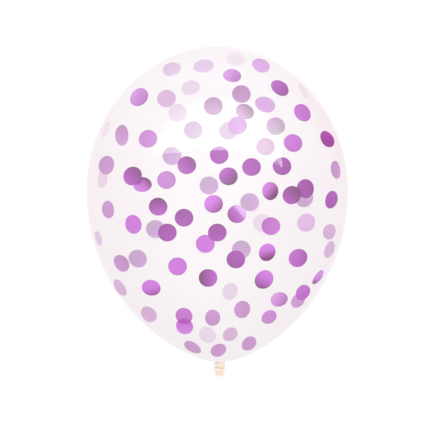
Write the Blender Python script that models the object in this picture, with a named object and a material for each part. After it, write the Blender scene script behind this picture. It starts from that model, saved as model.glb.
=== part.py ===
"""Confetti balloon lying on its side: a clear latex envelope closed by its own wound and knotted neck.

The envelope is one piece of latex, blown up to the shape of an egg whose narrow end is the neck.
Its long axis lies along Y, with the crown towards +Y and the tied neck towards -Y.
The balloon is sealed, so it is modelled solid. It rests on a small flat spot at Z = 0.
The origin is on the ground, under the middle of the overall length.
"""

import math

import bmesh
import bpy
from mathutils import Vector

# Envelope, in metres
BODY_DIAMETER = 0.283
CROWN_LENGTH = 0.1575  # from the widest ring to the crown
CROWN_POWER = 0.515  # 0.5 would make the crown an ellipse; more makes it a little leaner
TAPER_LENGTH = 0.184  # from the widest ring to where the narrowing sides would meet
TAPER_POWER = 0.61  # 0.5 would make the taper an ellipse; more draws it in towards the neck
FLAT_DEPTH = 0.002  # how far the belly is pressed in where it lies on the ground
NECK_SHIFT = 0.0024  # how far the neck sits to +X of the axis, with the taper leaning over to it
LEAN_POWER = 3  # 1 would lean the whole taper evenly; more keeps the lean near the neck

# Neck wound round itself below the envelope, in metres
THROAT_DIAMETER = 0.0092
WIND_DIAMETER = 0.0124  # over the wind next to the envelope
WIND_END_DIAMETER = 0.0106  # over the last wind
WIND_LENGTH = 0.0122
WIND_PITCH = 0.0054
WIND_EDGE = 0.0012  # rounding of the wound stretch at both its ends
GROOVE_DEPTH = 0.0010  # between one wind and the next
GROOVE_SHARE = 0.22  # half width of a groove, as a share of the pitch

# Rolled lip at the mouth, in metres
LIP_NECK_DIAMETER = 0.0078
LIP_DIAMETER = 0.0102
LIP_BEAD = 0.0024  # thickness of the rolled bead
LIP_STEM = 0.0011  # stretch of bare neck between the last wind and the bead

# How finely the curves are divided
SIDES = 64
CROWN_RINGS = 16
TAPER_RINGS = 20
WIND_RINGS = 20
BEAD_RINGS = 6
MERGE_DISTANCE = 1e-6
SHARP_ANGLE = math.radians(35)  # edges bent more than this are shaded as edges

BODY_RADIUS = BODY_DIAMETER / 2
AXIS_HEIGHT = BODY_RADIUS - FLAT_DEPTH
LIP_LENGTH = LIP_STEM + LIP_BEAD


def taper_reach(radius):
    """How far below the widest ring the taper has narrowed to this radius."""
    left = (radius / BODY_RADIUS) ** (1 / TAPER_POWER)
    return TAPER_LENGTH * math.sqrt(1 - left)


THROAT_REACH = taper_reach(THROAT_DIAMETER / 2)
OVERALL_LENGTH = CROWN_LENGTH + THROAT_REACH + WIND_LENGTH + LIP_LENGTH
WIDEST_Y = OVERALL_LENGTH / 2 - CROWN_LENGTH
THROAT_Y = WIDEST_Y - THROAT_REACH
WIND_END_Y = THROAT_Y - WIND_LENGTH
MOUTH_Y = WIND_END_Y - LIP_LENGTH


def crown_points():
    """(radius, y) from the crown's pole to the widest ring: almost a quarter of an ellipse."""
    points = [(0.0, WIDEST_Y + CROWN_LENGTH)]
    for ring in range(1, CROWN_RINGS + 1):
        turn = math.pi / 2 * (1 - ring / CROWN_RINGS)
        radius = BODY_RADIUS * math.cos(turn) ** (2 * CROWN_POWER)
        points.append((radius, WIDEST_Y + CROWN_LENGTH * math.sin(turn)))
    return points


def taper_points():
    """(radius, y) from below the widest ring to the throat."""
    points = []
    last_turn = math.asin(THROAT_REACH / TAPER_LENGTH)
    for ring in range(1, TAPER_RINGS + 1):
        turn = last_turn * ring / TAPER_RINGS
        radius = BODY_RADIUS * math.cos(turn) ** (2 * TAPER_POWER)
        points.append((radius, WIDEST_Y - TAPER_LENGTH * math.sin(turn)))
    return points


def edge_rise(distance):
    """0 at the end of the wound stretch, rounding up to 1 one edge width in."""
    inward = min(1.0, max(0.0, distance / WIND_EDGE))
    return math.sqrt(1 - (1 - inward) ** 2)


def wind_radius(reach):
    """Outer radius of the wound neck, this far below the throat, without its grooves."""
    share = reach / WIND_LENGTH
    full = (WIND_DIAMETER + (WIND_END_DIAMETER - WIND_DIAMETER) * share) / 2
    inner = (THROAT_DIAMETER + (LIP_NECK_DIAMETER - THROAT_DIAMETER) * share) / 2
    return inner + (full - inner) * edge_rise(min(reach, WIND_LENGTH - reach))


def wind_points():
    points = []
    for ring in range(1, WIND_RINGS + 1):
        # Rings crowd towards both ends, where the stretch is rounded
        share = 0.5 - 0.5 * math.cos(math.pi * ring / WIND_RINGS)
        share = (share + ring / WIND_RINGS) / 2
        reach = WIND_LENGTH * share
        points.append((wind_radius(reach), THROAT_Y - reach))
    return points


def lip_points():
    """(radius, y) down the stem and round the rolled bead to the edge of the flat mouth."""
    bead_middle = MOUTH_Y + LIP_BEAD / 2
    core = (LIP_DIAMETER - LIP_BEAD) / 2
    points = []
    for ring in range(BEAD_RINGS + 1):
        turn = math.pi * (0.5 - ring / BEAD_RINGS)
        points.append((core + LIP_BEAD / 2 * math.cos(turn), bead_middle + LIP_BEAD / 2 * math.sin(turn)))
    return points


def groove(along):
    """1 in the middle of a groove and 0 on a wind. along counts turns."""
    offset = abs(along - round(along))
    return math.exp(-((offset / GROOVE_SHARE) ** 2))


def spin_round(mesh, points):
    """Turns a profile of (radius, y) points once round the envelope's axis."""
    row = [mesh.verts.new((radius, y, AXIS_HEIGHT)) for radius, y in points]
    edges = [mesh.edges.new(pair) for pair in zip(row, row[1:])]
    bmesh.ops.spin(
        mesh,
        geom=row + edges,
        cent=(0, 0, AXIS_HEIGHT),
        axis=(0, 1, 0),
        angle=math.tau,
        steps=SIDES,
        use_merge=True,
    )
    bmesh.ops.remove_doubles(mesh, verts=mesh.verts, dist=MERGE_DISTANCE)


def close_mouth(mesh):
    """Closes the end of the neck with one flat face."""
    rim = [edge for edge in mesh.edges if edge.is_boundary]
    bmesh.ops.holes_fill(mesh, edges=rim)


def press_grooves(mesh):
    """Sinks the helical grooves between the winds of the neck."""
    axis = Vector((0, 0, AXIS_HEIGHT))
    for vertex in mesh.verts:
        reach = THROAT_Y - vertex.co.y
        if not 0 < reach < WIND_LENGTH:
            continue
        outward = Vector((vertex.co.x, 0, vertex.co.z)) - axis
        angle = math.atan2(outward.z, outward.x)
        fade = edge_rise(min(reach, WIND_LENGTH - reach))
        sink = GROOVE_DEPTH * fade * groove(reach / WIND_PITCH + angle / math.tau)
        vertex.co -= outward.normalized() * sink


def lean_to_neck(mesh):
    """Shifts the neck to one side, and the taper ever more towards it."""
    for vertex in mesh.verts:
        share = (WIDEST_Y - vertex.co.y) / THROAT_REACH
        share = min(1.0, max(0.0, share))
        vertex.co.x += NECK_SHIFT * share ** LEAN_POWER


def cut_flat_spot(mesh):
    """Cuts the belly off at the ground and closes it with one flat face."""
    everything = [*mesh.verts, *mesh.edges, *mesh.faces]
    cut = bmesh.ops.bisect_plane(
        mesh, geom=everything, plane_co=(0, 0, 0), plane_no=(0, 0, 1), clear_inner=True
    )
    rim = [item for item in cut["geom_cut"] if isinstance(item, bmesh.types.BMEdge)]
    bmesh.ops.holes_fill(mesh, edges=rim)


def latex_material():
    material = bpy.data.materials.new("clear_latex")
    material.use_nodes = True
    shader = material.node_tree.nodes["Principled BSDF"]
    shader.inputs["Base Color"].default_value = (0.92, 0.86, 0.90, 1)
    shader.inputs["Roughness"].default_value = 0.15
    shader.inputs["Metallic"].default_value = 0.0
    shader.inputs["Alpha"].default_value = 0.2
    return material


def make_balloon():
    mesh = bmesh.new()
    spin_round(mesh, crown_points() + taper_points() + wind_points() + lip_points())
    close_mouth(mesh)
    press_grooves(mesh)
    lean_to_neck(mesh)
    cut_flat_spot(mesh)
    bmesh.ops.recalc_face_normals(mesh, faces=mesh.faces)
    data = bpy.data.meshes.new("balloon")
    mesh.to_mesh(data)
    mesh.free()
    data.materials.append(latex_material())
    data.shade_smooth()
    data.set_sharp_from_angle(angle=SHARP_ANGLE)
    balloon = bpy.data.objects.new("balloon", data)
    bpy.context.scene.collection.objects.link(balloon)
    return balloon


def clear_scene():
    for thing in list(bpy.data.objects):
        bpy.data.objects.remove(thing, do_unlink=True)


def main():
    clear_scene()
    make_balloon()


main()
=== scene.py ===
"""Looks of the confetti balloon: clear latex skin, its wound neck, and foil discs clinging inside."""

import math
from collections import namedtuple

import bpy
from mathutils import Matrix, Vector, noise


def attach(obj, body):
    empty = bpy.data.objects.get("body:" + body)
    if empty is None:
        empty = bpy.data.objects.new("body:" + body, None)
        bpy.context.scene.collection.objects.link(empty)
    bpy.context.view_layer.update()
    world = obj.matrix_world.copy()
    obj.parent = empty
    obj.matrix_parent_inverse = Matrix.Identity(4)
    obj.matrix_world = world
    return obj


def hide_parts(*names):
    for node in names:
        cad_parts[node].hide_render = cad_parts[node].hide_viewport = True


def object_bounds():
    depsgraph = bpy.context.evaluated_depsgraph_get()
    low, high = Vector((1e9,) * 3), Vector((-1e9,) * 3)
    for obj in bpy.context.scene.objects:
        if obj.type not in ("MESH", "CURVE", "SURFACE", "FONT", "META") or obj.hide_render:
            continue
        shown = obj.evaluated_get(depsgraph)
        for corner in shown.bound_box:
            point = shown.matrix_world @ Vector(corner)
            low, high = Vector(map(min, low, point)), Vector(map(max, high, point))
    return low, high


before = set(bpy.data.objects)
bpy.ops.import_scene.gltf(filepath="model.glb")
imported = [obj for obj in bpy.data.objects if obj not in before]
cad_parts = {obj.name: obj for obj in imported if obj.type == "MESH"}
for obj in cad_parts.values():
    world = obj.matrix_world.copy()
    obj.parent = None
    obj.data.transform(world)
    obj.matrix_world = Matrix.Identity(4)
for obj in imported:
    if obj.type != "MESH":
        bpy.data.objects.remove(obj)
CAD_LOW, CAD_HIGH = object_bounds()
BODY = "root"
MM = 0.001
NOISE_SWING = (0.3, 0.7)  # most of a noise lies between these

# Skin: the CAD solid's outline, with its driving sizes in metres
CROWN_LENGTH = 0.1575  # from the widest ring to the crown
CROWN_POWER = 0.515
TAPER_LENGTH = 0.184  # from the widest ring to where the narrowing sides would meet
TAPER_POWER = 0.61
THROAT_RADIUS = 0.0046
NECK_SHIFT = 0.0024  # how far the neck sits to +X of the axis
LEAN_POWER = 3  # 1 would lean the whole taper evenly; more keeps the lean near the neck
BODY_RADIUS = (CAD_HIGH.x - CAD_LOW.x) / 2
AXIS_HEIGHT = CAD_HIGH.z - BODY_RADIUS
WIDEST_Y = CAD_HIGH.y - CROWN_LENGTH
THROAT_TURN = math.acos((THROAT_RADIUS / BODY_RADIUS) ** (0.5 / TAPER_POWER))
THROAT_Y = WIDEST_Y - TAPER_LENGTH * math.sin(THROAT_TURN)
MOUTH_Y = CAD_LOW.y
SKIN_SIDES = 144
CROWN_RINGS = 44
TAPER_RINGS = 60
FLAT_ROUNDING = 0.0006  # how softly the skin bends into its flat spot
PLEATS = 17  # stretch pleats that run up from the throat
PLEAT_DEPTH = 0.0006
PLEAT_REACH = 0.011
PLEAT_START = 0.002  # the pleats have their full depth this far above the throat
PLEAT_SWELL = 0.5  # of a slower wave that makes them uneven, as a share of their depth

# Look of the skin: its tones run from its brightest place, a painted highlight, to its throat, as
# (position, linear colour). It greys partly because the latex is thicker near the neck, and partly with
# painted shade towards its sides.
SKIN_TONES = [(0.25, (0.94, 0.88, 0.93)), (0.53, (0.77, 0.70, 0.73)), (0.66, (0.71, 0.64, 0.67)),
              (0.92, (0.56, 0.51, 0.53))]
COAT_TONES = [(0.37, (0.96, 0.905, 0.93)), (0.57, (0.90, 0.77, 0.835))]
THROAT_TONE = 0.85  # the position that the skin has reached at its throat
TONE_MOTTLE = 0.3  # how far noise shifts that position
BRIGHTEST_PLACE = 0.080  # along from the widest ring, where a highlight is painted on the skin
PINK_REFLECTION_PLACE = (0.118, 0.060)  # where a pink reflection is painted on the skin: across from the axis and along from the widest ring
PINK_REFLECTION_REACH = 0.085  # how far round that place the pink reflection is painted
PINK_REFLECTION_COLOUR = (0.86, 0.22, 0.34, 1)
PINK_REFLECTION_COAT = (0.88, 0.55, 0.66, 1)
SKIN_ALPHA = 0.12
SKIN_IOR = 2.2
COAT_IOR = 1.05
OUTER_ROUGHNESS = (0.01, 0.02)
INNER_ROUGHNESS = 0.6

# Neck, wound round itself, and its rolled lip
WIND_RADIUS = 0.0062  # over the wind next to the envelope
WIND_END_RADIUS = 0.0053  # over the last wind
WIND_LENGTH = 0.0122
WIND_PITCH = 0.0054
WIND_EDGE = 0.0012  # rounding of the wound stretch at both its ends
GROOVE_DEPTH = 0.0012  # between one wind and the next
GROOVE_SHARE = 0.20  # half width of a groove, as a share of the pitch
CREASE_DEPTH = 0.00016
CREASES_PER_WIND = 3
FIRST_TURN = 0.39  # where the first groove starts, in turns below the throat
OPEN_SIDE = math.radians(210)  # where a groove at the throat is widest open; opposite, it is pressed shut
OPEN_SIDE_TURN = math.radians(90)  # how far that side moves round from one wind to the next
LUMP_DEPTH = 0.0003
LUMP_LENGTH = 0.003
LUMPS_ROUND = 2.0  # more puts more lumps round the neck
LIP_RADIUS = 0.0051
LIP_BEAD = 0.0024
LIP_STEM_RADIUS = 0.0039
LIP_WAVES = ((0.05, 3, 1.0), (0.03, 7, 0.0))  # height as a share of the bead, count and phase
# Neck tones from its ridges into its grooves: the darker tan is painted shade in the grooves
LATEX_TONES = [(0.15, (0.955, 0.87, 0.74)), (0.45, (0.92, 0.82, 0.655)), (1.0, (0.82, 0.72, 0.50))]
GROOVE_MOTTLE = 0.5  # how far noise shifts a place's tone
NECK_SIDES = 160
WIND_RINGS = 110
BEAD_RINGS = 28

# Confetti
FOIL_THICKNESS = 0.00016
FOIL_GAP = 0.00035  # kept between the middle of the foil and the skin
MOST_LEAN = math.radians(25)  # how far a disc may stand off the skin that it clings to
ROUND_FACE = 0.955  # how narrow a disc looks that faces the camera, leaning a little along the balloon
FOIL_CURL = 0.0005  # how far a disc's darkest and lightest points bend away from its middle
FOIL_SIDES = 48
RIM_START = 0.95  # where the painted shade along the cut edge begins, as a share of a disc's radius
# how much darker the cut edge is painted, as painted shade
RIM_SHADE = 0.12
FOIL_RINGS = (0.3, 0.6, 0.88, RIM_START, 1.0)  # as shares of a disc's radius
FOIL_CORNER = math.radians(60)  # only the cut edge is bent more than this
OUTERMOST = 0.995  # the slant of the skin is worked out no further out than this share of its radius
HALVINGS = 30  # of the search for a disc's height, which places it to far less than a micrometre
MIDDLE_TONE = 0.5  # the tones' position in the middle of a disc
GRAIN_MOTTLE = 0.10  # how far the grain shifts a place's tone
FOIL_METALLIC = 0.35
SHEER_ALPHA = 0.62

# Camera: straight above the balloon, which lies with its crown towards the top of the picture
LENS = 1000.0  # millimetres, on a 36 mm sensor: the photo shows hardly any perspective
SENSOR = 36.0
VIEW_WIDTH = 0.465  # what the picture's width spans at the height of the balloon's axis
VIEW_MIDDLE = (-0.0025, -0.00395)  # x and y in the middle of the picture
CAMERA_HEIGHT = AXIS_HEIGHT + VIEW_WIDTH * LENS / SENSOR

# Light table and studio, with linear colours
TABLE_HALF = 15.0  # half its width
TABLE_TONES = [(0.3, (0.20, 0.20, 0.20)), (0.7, (0.19, 0.19, 0.19))]
TABLE_GLOW = 0.82
ZENITH_COLOUR = (1.30, 1.275, 1.29, 1)
HORIZON_TONES = [(0.0, (0.74, 0.68, 0.72)), (0.5, (0.72, 0.66, 0.70)), (1.0, (0.76, 0.58, 0.64))]
BACKDROP_GLOW = 1.05  # of the white that the camera sees past the table

# Softbox. Its places are shares of its height above the balloon: to the right of the axis, or from
# the widest ring towards the crown and beyond.
SOFTBOX_HEIGHT = 1.2
SOFTBOX_LEFT = -2.6
SOFTBOX_FULL = -0.4  # it glows more and more from its left end up to here
SOFTBOX_NEAR = 0.6
SOFTBOX_FAR = 6.0
SOFTBOX_FADE = 2.0  # 1 would fade its glow evenly from near to far; more fades it sooner
SOFTBOX_GLOW = 20.5
SOFTBOX_COLOUR = (0.68, 1.0, 0.62, 1)  # greenish, because the skin's pink coat tints what it mirrors
SOFTBOX_OUTLINE = [
    (SOFTBOX_LEFT, 1.1), (-1.37, 0.81), (-0.74, 0.69), (-0.12, 0.633), (1.50, 0.636), (1.95, 0.585),
    (2.05, 0.84), (2.34, 1.27), (2.77, 1.78), (5.6, 4.75), (6.4, SOFTBOX_FAR),
    (SOFTBOX_LEFT, SOFTBOX_FAR),
]

# Where each disc lies as seen from above, in millimetres: across from the axis, and along from
# the widest ring towards the crown. Then its size across, how narrow it looks from above as a
# share of that size, the clock hour of its darker side, and how strongly that side is shaded. A
# disc's light side is a painted reflection, and its darker side is painted shade.
# Where a disc doesn't simply lie along the skin, lean is the clock hour that its upper face leans
# towards. Sink is how far it hangs below the skin, beneath another disc. Light makes the whole
# disc lighter than its tone, and a negative value darker.
Disc = namedtuple("Disc", "across along size face dark shade lean sink light", defaults=(None, 0, 0))

UPPER = {
    "deep": [
        Disc(-33, 29, 20, 1.0, 1.5, 0.6, light=0.02),
        Disc(-91.7, 17.3, 20.7, 1.0, 1.5, 0.7),
        Disc(12, 17, 20, 1.0, 4.5, 0.7, light=-0.05),
        Disc(2, 40, 20, 1.0, 6, 0.1, light=0.13),
        Disc(37, 27, 20, 1.0, 3, 0.15, light=0.08),
        Disc(70, 28, 20, 1.0, 4, 0.2),
        Disc(-64, -16, 20, 1.0, 12, 0.8),
        Disc(-36, -28, 20, 1.0, 12, 0.3),
        Disc(-54, -44, 20, 1.0, 11, 0.2),
        Disc(80.5, -3.4, 20, 1.0, 1.5, 0.6, light=-0.12),
        Disc(95.4, 3.6, 20.5, 0.90, 3, 0.2, sink=1.5),
        Disc(123.5, -8.4, 19.5, 0.67, 6, 0.2, lean=3.5, light=0.08),
        Disc(0, -44, 20, 1.0, 12, 0.3),
        Disc(20, -73, 20, 1.0, 7, 0.2),
        Disc(67.7, 112.6, 21, 0.70, 5, 0.5, light=0.16),
        Disc(-10, -93, 20, 1.0, 9, 0.8),
        Disc(87.4, -71.4, 20.8, 1.0, 3.5, 0.5, light=0.29),
    ],
    "magenta": [
        Disc(119, 57.4, 19.3, 0.68, 7, 0.3, lean=1.9),
    ],
    "orchid": [
        Disc(-81, 8.2, 20, 0.80, 1.7, 0.9, lean=12, sink=3.2, light=0.03),
        Disc(-91, -35, 20.5, 0.85, 3, 0.1, light=0.13),
        Disc(-4, -13, 20, 1.0, 4.5, 0.6),
        Disc(57.4, 1, 19.5, 0.88, 4.5, 0.9, light=-0.14),
        Disc(54, -65.3, 19.5, 0.88, 5.6, 1.0, lean=4, light=-0.05),
        Disc(109, -92.3, 18, 0.40, 6, 1.3, lean=4.2, light=0.2),
        Disc(50.6, -94.7, 21.5, 0.86, 6.8, 0.65, lean=4.5),
        Disc(92.7, -108.8, 17.8, 0.84, 5, 0.1, light=-0.02),
        Disc(-71.5, -103.7, 20.3, 0.83, 5.5, 0.6, lean=6.4, light=0.06),
        Disc(-43, -80.5, 20, 1.0, 3, 0.05, light=0.03),
        Disc(92.2, 85.8, 20.4, 0.78, 3, 0.1),
        Disc(82, 53, 20, 1.0, 4, 0.1),
    ],
    "sheer_orchid": [
        Disc(58, -37, 20, 1.0, 9, 0.15),
        Disc(-36, -134, 18.5, 0.9, 6, 0.1),
    ],
    "light_orchid": [
        Disc(22, 72, 20, 1.0, 8, 0.1, sink=1.2, light=-0.08),
        Disc(-55, 13, 20, 1.0, 3, 0.05, light=-0.12),
        Disc(-75, 57.6, 20, 1.0, 9, 0.1, light=-0.05),
        Disc(16, 126, 19.5, 0.72, 4, 0.6),
        Disc(-84.8, 102.6, 21.6, 0.83, 3.6, 0.6, light=-0.03),
        Disc(67, -116.2, 18.7, 0.82, 3.8, 0.7, lean=5.4),
        Disc(56, -135.4, 17.1, 0.80, 6, 0.1, light=-0.05),
    ],
    # A disc with a painted highlight band across it
    "painted_sheen": [
        Disc(21, -24, 20, 1.0, 7.7, 1.0),
    ],
    "rose": [
        Disc(47.2, 137, 19.6, 0.73, 12.5, 0.35),
        Disc(51.7, 94.8, 22, 0.74, 12, 0.1, lean=0.7, light=-0.04),
    ],
    "lilac": [
        Disc(-103.3, 61.3, 22.4, 0.64, 12, 0.4, lean=9, light=0.07),
        Disc(-120, 29, 20.5, 0.80, 12, 0.15, light=0.08),
        Disc(-118.3, -19, 19, 0.68, 6, 0.2, light=0.08),
        Disc(-103.8, -77.2, 19.6, 0.76, 2.5, 0.3, lean=7.8),
        Disc(-5, -136, 17.5, 0.93, 6, 0.3, lean=3),
        Disc(27, -127, 18.8, 0.90, 3, 0.1, lean=3.7),
        Disc(-26.8, -168, 20, 0.52, 6, 0.1, lean=7),
        Disc(1.3, -171.2, 17.3, 0.78, 9, 0.1, lean=5.2, light=0.08),
        Disc(34.3, -164, 17.2, 0.78, 6, 0.15, lean=4.6, light=0.06),
        Disc(128.3, 24, 19.5, 0.52, 9, 0.2),
        Disc(26, 106, 20, 0.95, 11, 0.15, light=-0.20),
        Disc(30, 87, 20, 0.8, 2.3, 1.0, light=-0.13),
        Disc(52, 49, 20, 1.0, 4, 0.1, light=-0.08),
    ],
}
LOWER = {
    "orchid": [
        Disc(-13, -56, 20.5, 1.0, 12, 0.1, light=0.07),
        Disc(-35.4, -145.2, 18.8, 0.9, 12, 0.8, light=0.18),
    ],
    "lilac": [
        Disc(87, -117.4, 17.3, 0.74, 3, 0.1, light=0.18),
        Disc(-4.3, 92.7, 20.5, 1.0, 12, 0.2, light=-0.1),
    ],
    "mauve": [
        Disc(-9, 7, 20.5, 1.0, 11, 0.7),
        Disc(-67, -40, 20.5, 1.0, 11, 0.7),
        Disc(35, -11, 20.5, 1.0, 9, 0.7),
        Disc(94, -6.4, 20.5, 1.0, 7.5, 0.6),
        Disc(26, -62, 20.5, 1.0, 12, 0.7),
        Disc(-86, -72, 20.5, 1.0, 10, 0.6),
        Disc(63, 71, 20.5, 1.0, 4, 0.8, light=-0.2),
        Disc(-49, 39, 20.5, 1.0, 10, 0.6, light=0.2),
        Disc(-26, 66.7, 20.5, 1.0, 6, 0.05, light=0.12),
        Disc(12, 66, 20.5, 1.0, 6, 0.6, light=0.15),
    ],
    "pale": [
        Disc(-55, 101, 20.5, 1.0, 3, 0.2, light=0.15),
        Disc(-74, -132, 19, 0.79, 1, 0.4),
        Disc(121, -43, 17, 0.86, 6, 0.3),
        Disc(121, -62, 19, 0.52, 4, 0.3),
        Disc(-105, -103.2, 20, 0.50, 8, 0.2, lean=1.9),
        Disc(14, -154, 17, 0.82, 6, 0.2, lean=4.8),
        Disc(96, -33, 20.5, 1.0, 5, 0.4, light=0.3),
    ],
    "wan": [
        Disc(-15, 136, 22, 0.61, 1, 0.3, light=0.1),
        Disc(-49, 132.6, 20.3, 0.68, 10.5, 0.5, lean=5.5, light=0.05),
        Disc(-128.4, -50.2, 16.5, 0.38, 11, 0.3, light=0.1),
    ],
    "faint": [
        Disc(48.8, -33.6, 20.5, 1.0, 12, 0.2),
        Disc(-29, 112.5, 20.5, 0.74, 12, 0.4, light=0.3),
        Disc(-124, 14, 19.5, 0.52, 12, 0.2, light=0.18),
        Disc(-42.8, 85.4, 20.5, 1.0, 4, 0.25, light=0.1),
        Disc(14, -107.5, 19.3, 0.84, 9, 0.1, lean=3.8),
        Disc(-10.7, -154.5, 19.5, 0.84, 6, 0.1, lean=7.3),
    ],
    "ghost": [
        Disc(-120, 68, 19, 0.32, 9, 0.2, light=0.3),
        Disc(19.8, 143.5, 20, 0.72, 6, 0.2, light=0.3),
        Disc(93, 109, 18, 0.32, 3, 0.2, lean=8),
    ],
}

# Each tone of foil from a disc's light side, where a reflection is painted, through the foil's own colour
# to its side with painted shade, as (position, linear colour)
FOIL_TONES = {
    "deep": [(0.1, (0.55, 0.16, 0.64)), (0.5, (0.41, 0.08, 0.485)), (0.95, (0.18, 0.05, 0.16))],
    "magenta": [(0.1, (0.58, 0.15, 0.66)), (0.5, (0.415, 0.022, 0.465)), (0.95, (0.17, 0.03, 0.14))],
    "orchid": [(0.1, (0.70, 0.27, 0.83)), (0.5, (0.645, 0.185, 0.775)), (0.95, (0.20, 0.03, 0.18))],
    "sheer_orchid": [(0.1, (0.80, 0.36, 0.90)), (0.5, (0.63, 0.080, 0.73)), (0.95, (0.20, 0.02, 0.19))],
    "light_orchid": [(0.1, (0.86, 0.47, 0.93)), (0.5, (0.71, 0.225, 0.84)), (0.95, (0.40, 0.07, 0.46))],
    # A painted highlight band with a sharp edge, then the foil's own colour and painted shade
    "painted_sheen": [(0.1, (0.84, 0.58, 0.95)), (0.34, (0.76, 0.44, 0.89)), (0.44, (0.54, 0.16, 0.66)),
              (0.95, (0.36, 0.08, 0.38))],
    "rose": [(0.1, (0.82, 0.58, 0.95)), (0.5, (0.79, 0.48, 0.91)), (0.95, (0.62, 0.40, 0.68))],
    "lilac": [(0.1, (0.72, 0.45, 0.80)), (0.5, (0.63, 0.345, 0.685)), (0.95, (0.45, 0.26, 0.45))],
    "mauve": [(0.1, (0.70, 0.49, 0.79)), (0.5, (0.62, 0.42, 0.69)), (0.95, (0.55, 0.45, 0.57))],
    "pale": [(0.1, (0.81, 0.59, 0.86)), (0.5, (0.75, 0.53, 0.77)), (0.95, (0.67, 0.53, 0.68))],
    "wan": [(0.1, (0.90, 0.76, 0.97)), (0.5, (0.85, 0.69, 0.92)), (0.95, (0.77, 0.66, 0.82))],
    "faint": [(0.1, (0.92, 0.85, 0.95)), (0.5, (0.87, 0.80, 0.90)), (0.95, (0.82, 0.76, 0.85))],
    "ghost": [(0.1, (1.0, 0.97, 1.0)), (0.5, (0.98, 0.93, 0.985)), (0.95, (0.94, 0.88, 0.95))],
}
SEE_THROUGH_TONES = ("sheer_orchid", "light_orchid")  # what lies beneath these shows faintly


def skin_radius(y):
    """Radius of the skin round its axis, at this place along it."""
    if y >= WIDEST_Y:
        share = (y - WIDEST_Y) / CROWN_LENGTH
        return BODY_RADIUS * max(0.0, 1 - share * share) ** CROWN_POWER
    share = (WIDEST_Y - y) / TAPER_LENGTH
    return BODY_RADIUS * max(0.0, 1 - share * share) ** TAPER_POWER


def skin_slope(y):
    """Growth of the skin's radius along the axis."""
    step = 1e-5
    return (skin_radius(y + step) - skin_radius(y - step)) / (2 * step)


def neck_shift(y):
    """How far the middle of the skin lies to +X at this place along it."""
    share = (WIDEST_Y - y) / (WIDEST_Y - THROAT_Y)
    return NECK_SHIFT * min(1.0, max(0.0, share)) ** LEAN_POWER


def inside_skin(point, gap):
    """True if a point is at least this far in from the skin."""
    radial = math.hypot(point.x - neck_shift(point.y), point.z - AXIS_HEIGHT)
    slant = math.hypot(1, skin_slope(point.y))
    return radial <= skin_radius(point.y) - gap * slant and point.z >= gap


def new_material(name):
    """A material and its Principled shader and node tree."""
    material = bpy.data.materials.new(name)
    material.use_nodes = True
    tree = material.node_tree
    return material, tree, tree.nodes["Principled BSDF"]


def object_place(tree):
    """Places in the object's own coordinates, as an output socket."""
    return tree.nodes.new("ShaderNodeTexCoord").outputs["Object"]


def mesh_value(tree, name):
    """A number that is kept on the points of the mesh, as an output socket."""
    node = tree.nodes.new("ShaderNodeAttribute")
    node.attribute_name = name
    return node.outputs["Fac"]


def noise_node(tree, scale, detail=2.0, stretch=None):
    """Noise in the object's own coordinates, as an output socket."""
    coordinates = object_place(tree)
    if stretch:
        mapping = tree.nodes.new("ShaderNodeMapping")
        mapping.inputs["Scale"].default_value = stretch
        tree.links.new(coordinates, mapping.inputs["Vector"])
        coordinates = mapping.outputs["Vector"]
    texture = tree.nodes.new("ShaderNodeTexNoise")
    texture.inputs["Scale"].default_value = scale
    texture.inputs["Detail"].default_value = detail
    tree.links.new(coordinates, texture.inputs["Vector"])
    return texture.outputs["Fac"]


def distance_from(tree, centre, place):
    """How far a place is from this centre, as an output socket."""
    node = tree.nodes.new("ShaderNodeVectorMath")
    node.operation = "DISTANCE"
    node.inputs[1].default_value = centre
    tree.links.new(place, node.inputs[0])
    return node.outputs["Value"]


def remapped(tree, value, start, end, low=0.0, high=1.0, curve="LINEAR"):
    """A number that goes from low to high while a value goes from start to end, as an output socket."""
    node = tree.nodes.new("ShaderNodeMapRange")
    node.interpolation_type = curve
    for name, number in (("From Min", start), ("From Max", end), ("To Min", low), ("To Max", high)):
        node.inputs[name].default_value = number
    tree.links.new(value, node.inputs["Value"])
    return node.outputs["Result"]


def add_scaled(tree, base, value, factor):
    """A base with a value times a factor added to it, as an output socket."""
    node = tree.nodes.new("ShaderNodeMath")
    node.operation = "MULTIPLY_ADD"
    node.inputs[1].default_value = factor
    tree.links.new(value, node.inputs[0])
    tree.links.new(base, node.inputs[2])
    return node.outputs["Value"]


def spread(tree, value, low, high, into):
    """Sends a noise into a socket, spread between two numbers."""
    tree.links.new(remapped(tree, value, *NOISE_SWING, low, high), into)


def colour_ramp(tree, value, stops, into):
    """Sends a value through (position, linear colour) stops into a colour socket."""
    ramp = tree.nodes.new("ShaderNodeValToRGB")
    elements = ramp.color_ramp.elements
    while len(elements) < len(stops):
        elements.new(0.5)
    for element, (position, colour) in zip(elements, stops):
        element.position = position
        element.color = (*colour, 1)
    tree.links.new(value, ramp.inputs["Fac"])
    tree.links.new(ramp.outputs["Color"], into)


def tinted_ramp(tree, value, stops, factor, tint, into):
    """Does the same as colour_ramp, and mixes in one more colour by a factor."""
    mix = tree.nodes.new("ShaderNodeMix")
    mix.data_type = "RGBA"
    mix.inputs["B"].default_value = tint
    colour_ramp(tree, value, stops, mix.inputs["A"])
    tree.links.new(factor, mix.inputs["Factor"])
    tree.links.new(mix.outputs["Result"], into)


def bump(tree, shader, value, strength, distance):
    """Roughens a shader's surface with a value, by this distance in metres at full strength."""
    node = tree.nodes.new("ShaderNodeBump")
    node.inputs["Strength"].default_value = strength
    node.inputs["Distance"].default_value = distance
    tree.links.new(value, node.inputs["Height"])
    tree.links.new(node.outputs["Normal"], shader.inputs["Normal"])


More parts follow.
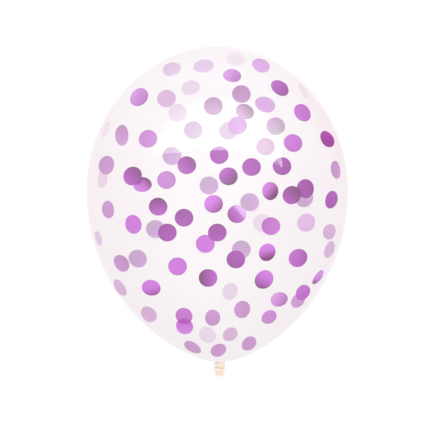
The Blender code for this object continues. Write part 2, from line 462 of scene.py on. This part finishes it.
def skin_material():
    """Clear latex: glossy outside, dulled with powder inside, with a painted highlight above its middle,
    and greyer towards its sides and neck: partly thicker latex near the neck, partly painted shade.
    """
    material, tree, shader = new_material("clear_skin")
    place = object_place(tree)
    # Seen from above, so height is left out of the distance from the brightest place, where the highlight
    # is painted
    level = tree.nodes.new("ShaderNodeVectorMath")
    level.operation = "MULTIPLY"
    level.inputs[1].default_value = (1, 1, 0)
    tree.links.new(place, level.inputs[0])
    brightest_y = WIDEST_Y + BRIGHTEST_PLACE
    off_brightest = distance_from(tree, (0, brightest_y, 0), level.outputs["Vector"])
    # Greyer away from the painted highlight: partly thicker latex towards the neck, partly painted shade
    # towards the sides
    greying = remapped(tree, off_brightest, 0.0, brightest_y - THROAT_Y, high=THROAT_TONE)
    position = add_scaled(tree, greying, noise_node(tree, scale=9.0), TONE_MOTTLE)
    # A pink reflection painted into the skin's colour and coat tint, on its right side towards the crown
    reflection_middle = (PINK_REFLECTION_PLACE[0], WIDEST_Y + PINK_REFLECTION_PLACE[1], AXIS_HEIGHT)
    off_reflection = distance_from(tree, reflection_middle, place)
    painted_reflection = remapped(tree, off_reflection, PINK_REFLECTION_REACH, 0.0, curve="SMOOTHSTEP")
    tinted_ramp(tree, position, SKIN_TONES, painted_reflection, PINK_REFLECTION_COLOUR, shader.inputs["Base Color"])
    tinted_ramp(tree, position, COAT_TONES, painted_reflection, PINK_REFLECTION_COAT, shader.inputs["Coat Tint"])
    gloss = tree.nodes.new("ShaderNodeMix")
    spread(tree, noise_node(tree, scale=60.0), *OUTER_ROUGHNESS, gloss.inputs["A"])
    gloss.inputs["B"].default_value = INNER_ROUGHNESS
    inner = tree.nodes.new("ShaderNodeNewGeometry").outputs["Backfacing"]
    tree.links.new(inner, gloss.inputs["Factor"])
    tree.links.new(gloss.outputs["Result"], shader.inputs["Roughness"])
    shader.inputs["IOR"].default_value = SKIN_IOR
    shader.inputs["Coat Weight"].default_value = 1.0
    shader.inputs["Coat IOR"].default_value = COAT_IOR
    shader.inputs["Alpha"].default_value = SKIN_ALPHA
    return material


def neck_material():
    """Unstretched latex: cream, dull and a little uneven, and darker tan in the grooves, where shade is
    painted.
    """
    material, tree, shader = new_material("neck_latex")
    blotches = noise_node(tree, scale=260.0)
    # Deeper in a groove paints more shade; the blotches are uneven latex
    tone = add_scaled(tree, mesh_value(tree, "hollow"), blotches, GROOVE_MOTTLE)
    colour_ramp(tree, tone, LATEX_TONES, shader.inputs["Base Color"])
    smears = noise_node(tree, scale=900.0)
    spread(tree, smears, low=0.45, high=0.62, into=shader.inputs["Roughness"])
    grain = noise_node(tree, scale=2600.0, detail=4.0)
    bump(tree, shader, grain, strength=0.25, distance=0.0001)
    return material


def foil_material(tone):
    """Metallised film with a painted reflection on each disc's light side and painted shade on its darker
    side, both from each disc's own shade values.
    """
    material, tree, shader = new_material("foil_" + tone)
    grain = noise_node(tree, scale=420.0, detail=3.0, stretch=(1.0, 0.25, 1.0))
    position = add_scaled(tree, mesh_value(tree, "shade"), grain, GRAIN_MOTTLE)
    colour_ramp(tree, position, FOIL_TONES[tone], shader.inputs["Base Color"])
    spread(tree, grain, low=0.34, high=0.46, into=shader.inputs["Roughness"])
    bump(tree, shader, grain, strength=0.12, distance=0.0002)
    shader.inputs["Metallic"].default_value = FOIL_METALLIC
    if tone in SEE_THROUGH_TONES:
        shader.inputs["Alpha"].default_value = SHEER_ALPHA
    return material


def add_piece(name, vertices, faces, material):
    """A smooth mesh piece of the balloon, from its points and faces."""
    data = bpy.data.meshes.new(name)
    data.from_pydata(vertices, [], faces)
    data.materials.append(material)
    data.shade_smooth()
    piece = bpy.data.objects.new(name, data)
    bpy.context.scene.collection.objects.link(piece)
    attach(piece, BODY)
    return piece


def keep_values(piece, name, values):
    """Keeps one number for each point of a piece, for its material to read."""
    piece.data.attributes.new(name, "FLOAT", "POINT").data.foreach_set("value", values)


def lathe_faces(rings, sides):
    """Faces between rings of points, closed at both ends by a middle point after the last ring."""
    faces = []
    for ring in range(rings - 1):
        for side in range(sides):
            other = (side + 1) % sides
            low, high = ring * sides, (ring + 1) * sides
            faces.append((low + side, low + other, high + other, high + side))
    first, last = rings * sides, rings * sides + 1
    for side in range(sides):
        other = (side + 1) % sides
        faces.append((first, other, side))
        faces.append(((rings - 1) * sides + side, (rings - 1) * sides + other, last))
    return faces


def soft_floor(height):
    """Keeps the belly above the ground, bending softly into the flat spot."""
    return (height + math.hypot(height, FLAT_ROUNDING)) / 2


def skin_point(y, angle):
    """A point on the skin, with its pleats near the throat and its flat spot."""
    radius = skin_radius(y)
    above = y - THROAT_Y
    fade = math.exp(-((above / PLEAT_REACH) ** 2)) * min(1.0, above / PLEAT_START)
    swell = PLEAT_SWELL * math.cos(2 * angle + 1) * math.cos(3 * angle)
    radius += PLEAT_DEPTH * fade * (math.cos(PLEATS * angle) + swell)
    return Vector((
        neck_shift(y) + radius * math.cos(angle),
        y,
        soft_floor(AXIS_HEIGHT + radius * math.sin(angle)),
    ))


def make_skin():
    """The blown envelope, which stands for the CAD solid."""
    places = []
    for ring in range(1, CROWN_RINGS + 1):
        places.append(WIDEST_Y + CROWN_LENGTH * math.cos(math.pi / 2 * ring / CROWN_RINGS))
    for ring in range(1, TAPER_RINGS + 1):
        places.append(WIDEST_Y - TAPER_LENGTH * math.sin(THROAT_TURN * ring / TAPER_RINGS))
    points = []
    for y in places:
        for side in range(SKIN_SIDES):
            points.append(skin_point(y, math.tau * side / SKIN_SIDES))
    points.append(Vector((0, CAD_HIGH.y, AXIS_HEIGHT)))
    points.append(Vector((NECK_SHIFT, places[-1], AXIS_HEIGHT)))
    faces = lathe_faces(len(places), SKIN_SIDES)
    skin = add_piece("skin", points, faces, skin_material())
    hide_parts("balloon")
    return skin


def edge_rise(distance):
    """0 at the end of the wound stretch, rounding up to 1 one edge width in."""
    inward = min(1.0, max(0.0, distance / WIND_EDGE))
    return math.sqrt(1 - (1 - inward) ** 2)


def wind_form(reach, angle):
    """Radius of the wound neck, this far below the throat, and how deep in a groove it is."""
    share = reach / WIND_LENGTH
    edge = edge_rise(min(reach, WIND_LENGTH - reach))
    full = WIND_RADIUS + (WIND_END_RADIUS - WIND_RADIUS) * share
    inner = THROAT_RADIUS + (LIP_STEM_RADIUS - THROAT_RADIUS) * share
    turns = reach / WIND_PITCH + angle / math.tau - FIRST_TURN
    offset = abs(turns - round(turns))
    open_side = OPEN_SIDE - OPEN_SIDE_TURN * reach / WIND_PITCH
    groove = math.exp(-((offset / GROOVE_SHARE) ** 2)) * (0.5 + 0.5 * math.cos(angle - open_side))
    crease = math.cos(math.tau * CREASES_PER_WIND * turns) * (1 - groove)
    outward = Vector((math.cos(angle), math.sin(angle), 0))
    lump = noise.noise(LUMPS_ROUND * outward + Vector((0, 0, reach / LUMP_LENGTH)))
    relief = CREASE_DEPTH * crease + LUMP_DEPTH * lump - GROOVE_DEPTH * groove
    return inner + (full - inner + relief) * edge, groove * edge


def make_neck():
    """The wound neck and its rolled lip, in opaque unstretched latex."""
    points, hollows = [], []

    def add_point(radius, y, angle, hollow):
        x = NECK_SHIFT + radius * math.cos(angle)
        points.append((x, y, AXIS_HEIGHT + radius * math.sin(angle)))
        hollows.append(hollow)

    angles = [math.tau * side / NECK_SIDES for side in range(NECK_SIDES)]
    for ring in range(WIND_RINGS + 1):
        # Rings crowd towards both ends, where the wound stretch is rounded
        reach = WIND_LENGTH * (0.5 - 0.5 * math.cos(math.pi * ring / WIND_RINGS))
        for angle in angles:
            radius, hollow = wind_form(reach, angle)
            add_point(radius, THROAT_Y - reach, angle, hollow)
    middle = MOUTH_Y + LIP_BEAD / 2
    core = LIP_RADIUS - LIP_BEAD / 2
    for ring in range(BEAD_RINGS + 1):
        turn = math.pi * (0.5 - ring / BEAD_RINGS)
        for angle in angles:
            wave = 1.0
            for height, count, phase in LIP_WAVES:
                wave += height * math.cos(count * angle + phase)
            radius = core + LIP_BEAD / 2 * wave * math.cos(turn)
            add_point(radius, middle + LIP_BEAD / 2 * math.sin(turn), angle, 0.0)
    add_point(0, THROAT_Y, 0, 0.0)
    add_point(0, MOUTH_Y, 0, 0.0)
    faces = lathe_faces(WIND_RINGS + BEAD_RINGS + 2, NECK_SIDES)
    neck = add_piece("wound_neck", points, faces, neck_material())
    keep_values(neck, "hollow", hollows)


def sight_point(disc, height):
    """Where the camera's line of sight to a disc's place passes this height."""
    eye = Vector((*VIEW_MIDDLE, CAMERA_HEIGHT))
    aim = Vector((disc.across * MM, WIDEST_Y + disc.along * MM, AXIS_HEIGHT))
    share = (CAMERA_HEIGHT - height) / (CAMERA_HEIGHT - AXIS_HEIGHT)
    return eye.lerp(aim, share)


def clock_angle(hour):
    """Angle of a clock hour in the picture, anticlockwise from 3 o'clock."""
    return math.radians(90 - 30 * hour)


def tilted(level, tilt):
    """Straight up, tilted by an angle towards a level direction."""
    return level * math.sin(tilt) + Vector((0, 0, math.cos(tilt)))


def disc_normal(disc, upward):
    """Normal of a disc: turned towards the camera as far as clinging to the skin allows."""
    tilt = math.acos(min(ROUND_FACE, disc.face))
    if disc.lean is not None:
        towards = clock_angle(disc.lean)
        return tilted(Vector((math.cos(towards), math.sin(towards), 0)), tilt)
    place = sight_point(disc, AXIS_HEIGHT)
    sideways = (place.x - neck_shift(place.y)) / skin_radius(place.y)
    sideways = max(-OUTERMOST, min(OUTERMOST, sideways))
    lift = math.sqrt(1 - sideways * sideways)
    out = Vector((sideways, 0, lift if upward else -lift))
    skin = (out - Vector((0, skin_slope(place.y), 0))).normalized()
    if not upward:
        skin = -skin
    if disc.face < 1.0:
        level = Vector((skin.x, skin.y, 0)).normalized()
    else:
        level = Vector((0, math.copysign(1.0, skin.y), 0))
    wanted = tilted(level, tilt)
    apart = skin.angle(wanted)
    return wanted if apart <= MOST_LEAN else skin.slerp(wanted, MOST_LEAN / apart)


def disc_points(disc, centre, normal):
    """Points of the disc's middle surface, ring by ring from its centre, with their painted shades."""
    across = Vector((0, 1, 0)).cross(normal).normalized()
    along = normal.cross(across)
    dark = clock_angle(disc.dark)
    middle = MIDDLE_TONE - disc.light
    points = [(centre, middle)]
    for share in FOIL_RINGS:
        # Painted shade along each disc's cut edge
        rim = RIM_SHADE if share >= RIM_START else 0.0
        for side in range(FOIL_SIDES):
            angle = math.tau * side / FOIL_SIDES
            u, v = share * math.cos(angle), share * math.sin(angle)
            towards_dark = u * math.cos(dark) + v * math.sin(dark)
            bend = FOIL_CURL * towards_dark ** 2
            place = centre + (across * u + along * v) * (disc.size / 2 * MM) - normal * bend
            # The colour runs from a painted reflection on the disc's light side to painted shade on its
            # dark side
            points.append((place, middle + disc.shade / 2 * towards_dark + rim))
    return points


def settle(disc, upward):
    """Points of a disc, moved along the line of sight until its rim meets the skin."""
    normal = disc_normal(disc, upward)
    low, high = 0.0, BODY_RADIUS
    for _ in range(HALVINGS):
        middle = (low + high) / 2
        height = AXIS_HEIGHT + (middle if upward else -middle)
        points = disc_points(disc, sight_point(disc, height), normal)
        if all(inside_skin(place, FOIL_GAP) for place, _ in points):
            low = middle
        else:
            high = middle
    low -= disc.sink * MM
    height = AXIS_HEIGHT + (low if upward else -low)
    return disc_points(disc, sight_point(disc, height), normal), normal


def disc_faces(start):
    """Faces of one closed thin disc whose upper and lower points start at this index."""
    rings = len(FOIL_RINGS)
    count = 1 + rings * FOIL_SIDES  # points on each side of the leaf
    faces = []
    for side in range(FOIL_SIDES):
        other = (side + 1) % FOIL_SIDES
        faces.append((start, start + 1 + side, start + 1 + other))
        faces.append((start + count, start + count + 1 + other, start + count + 1 + side))
        for ring in range(rings - 1):
            near, far = 1 + ring * FOIL_SIDES, 1 + (ring + 1) * FOIL_SIDES
            quad = [start + near + side, start + far + side, start + far + other, start + near + other]
            faces.append(quad)
            faces.append([index + count for index in reversed(quad)])
        rim = 1 + (rings - 1) * FOIL_SIDES
        corner, next_corner = start + rim + side, start + rim + other
        faces.append((corner, corner + count, next_corner + count, next_corner))
    return faces


def make_confetti(tone):
    """All the discs of one tone, as separate closed leaves of foil in one piece."""
    vertices, faces, shades = [], [], []
    placed = [(disc, True) for disc in UPPER.get(tone, [])]
    placed += [(disc, False) for disc in LOWER.get(tone, [])]
    for disc, upward in placed:
        points, normal = settle(disc, upward)
        faces += disc_faces(len(vertices))
        for side in (0.5, -0.5):
            vertices += [place + normal * FOIL_THICKNESS * side for place, _ in points]
            shades += [shade for _, shade in points]
    name = "confetti_" + tone
    piece = add_piece(name, vertices, faces, foil_material(tone))
    keep_values(piece, "shade", shades)
    piece.data.set_sharp_from_angle(angle=FOIL_CORNER)


def make_floor():
    """A white light table, which throws light up through the balloon."""
    data = bpy.data.meshes.new("floor")
    corners = [(x * TABLE_HALF, y * TABLE_HALF, 0) for x, y in ((-1, -1), (1, -1), (1, 1), (-1, 1))]
    data.from_pydata(corners, [], [(0, 1, 2, 3)])
    material, tree, shader = new_material("light_table")
    colour_ramp(tree, noise_node(tree, scale=2.0), TABLE_TONES, shader.inputs["Base Color"])
    shader.inputs["Roughness"].default_value = 0.9
    shader.inputs["Specular IOR Level"].default_value = 0.0
    shader.inputs["Emission Color"].default_value = (1, 1, 1, 1)
    shader.inputs["Emission Strength"].default_value = TABLE_GLOW
    data.materials.append(material)
    floor = bpy.data.objects.new("floor", data)
    bpy.context.scene.collection.objects.link(floor)


def make_world():
    """Studio light, bright above and pinkish round the horizon, most of all to the right."""
    world = bpy.data.worlds.new("studio")
    bpy.context.scene.world = world
    world.use_nodes = True
    tree = world.node_tree
    around = tree.nodes["Background"]
    around.inputs["Strength"].default_value = 1.0
    direction = tree.nodes.new("ShaderNodeSeparateXYZ")
    tree.links.new(tree.nodes.new("ShaderNodeTexCoord").outputs["Generated"], direction.inputs[0])
    horizon = remapped(tree, direction.outputs["X"], -1.0, 1.0)
    upwards = direction.outputs["Z"]
    tinted_ramp(tree, horizon, HORIZON_TONES, upwards, ZENITH_COLOUR, around.inputs["Color"])
    seen = tree.nodes.new("ShaderNodeBackground")
    seen.inputs["Color"].default_value = (1, 1, 1, 1)
    seen.inputs["Strength"].default_value = BACKDROP_GLOW
    path = tree.nodes.new("ShaderNodeLightPath")
    mix = tree.nodes.new("ShaderNodeMixShader")
    tree.links.new(path.outputs["Is Camera Ray"], mix.inputs["Fac"])
    tree.links.new(around.outputs["Background"], mix.inputs[1])
    tree.links.new(seen.outputs["Background"], mix.inputs[2])
    tree.links.new(mix.outputs["Shader"], tree.nodes["World Output"].inputs["Surface"])


def softbox_material():
    """Glows most near the balloon and to the right, and lets through what lies behind it."""
    material = bpy.data.materials.new("softbox")
    material.use_nodes = True
    tree = material.node_tree
    tree.nodes.clear()
    place = tree.nodes.new("ShaderNodeSeparateXYZ")
    tree.links.new(object_place(tree), place.inputs[0])
    far, near = SOFTBOX_FAR * SOFTBOX_HEIGHT, SOFTBOX_NEAR * SOFTBOX_HEIGHT
    fade = tree.nodes.new("ShaderNodeMath")
    fade.operation = "POWER"
    fade.inputs[1].default_value = SOFTBOX_FADE
    tree.links.new(remapped(tree, place.outputs["Y"], far, near), fade.inputs[0])
    left, full = SOFTBOX_LEFT * SOFTBOX_HEIGHT, SOFTBOX_FULL * SOFTBOX_HEIGHT
    strength = tree.nodes.new("ShaderNodeMath")
    strength.operation = "MULTIPLY"
    tree.links.new(fade.outputs["Value"], strength.inputs[0])
    from_left = remapped(tree, place.outputs["X"], left, full, high=SOFTBOX_GLOW)
    tree.links.new(from_left, strength.inputs[1])
    glow = tree.nodes.new("ShaderNodeEmission")
    glow.inputs["Color"].default_value = SOFTBOX_COLOUR
    tree.links.new(strength.outputs["Value"], glow.inputs["Strength"])
    # What doesn't mirror the softbox sees the studio through it
    both = tree.nodes.new("ShaderNodeAddShader")
    tree.links.new(glow.outputs["Emission"], both.inputs[0])
    tree.links.new(tree.nodes.new("ShaderNodeBsdfTransparent").outputs["BSDF"], both.inputs[1])
    output = tree.nodes.new("ShaderNodeOutputMaterial")
    tree.links.new(both.outputs["Shader"], output.inputs["Surface"])
    return material


def make_softbox(skin):
    """A big softbox over the crown, brightest near the balloon, that only the skin mirrors."""
    data = bpy.data.meshes.new("softbox")
    corners = [(x * SOFTBOX_HEIGHT, y * SOFTBOX_HEIGHT, 0) for x, y in SOFTBOX_OUTLINE]
    data.from_pydata(corners, [], [range(len(corners))])
    data.materials.append(softbox_material())
    lamp = bpy.data.objects.new("softbox", data)
    lamp.location = (0, WIDEST_Y, CAD_HIGH.z + SOFTBOX_HEIGHT)
    lamp.visible_camera = False
    lamp.visible_diffuse = False
    lamp.visible_shadow = False
    bpy.context.scene.collection.objects.link(lamp)
    mirrors = bpy.data.collections.new("mirrors_of_softbox")
    mirrors.objects.link(skin)
    lamp.light_linking.receiver_collection = mirrors


def make_camera():
    """A long lens straight above the balloon."""
    data = bpy.data.cameras.new("camera")
    data.lens = LENS
    data.sensor_width = SENSOR
    data.clip_end = 100.0
    camera = bpy.data.objects.new("camera", data)
    camera.location = (*VIEW_MIDDLE, CAMERA_HEIGHT)
    bpy.context.scene.collection.objects.link(camera)
    bpy.context.scene.camera = camera


bpy.context.scene.view_settings.view_transform = "Standard"
skin = make_skin()
make_neck()
for tone in FOIL_TONES:
    make_confetti(tone)
make_floor()
make_world()
make_softbox(skin)
make_camera()
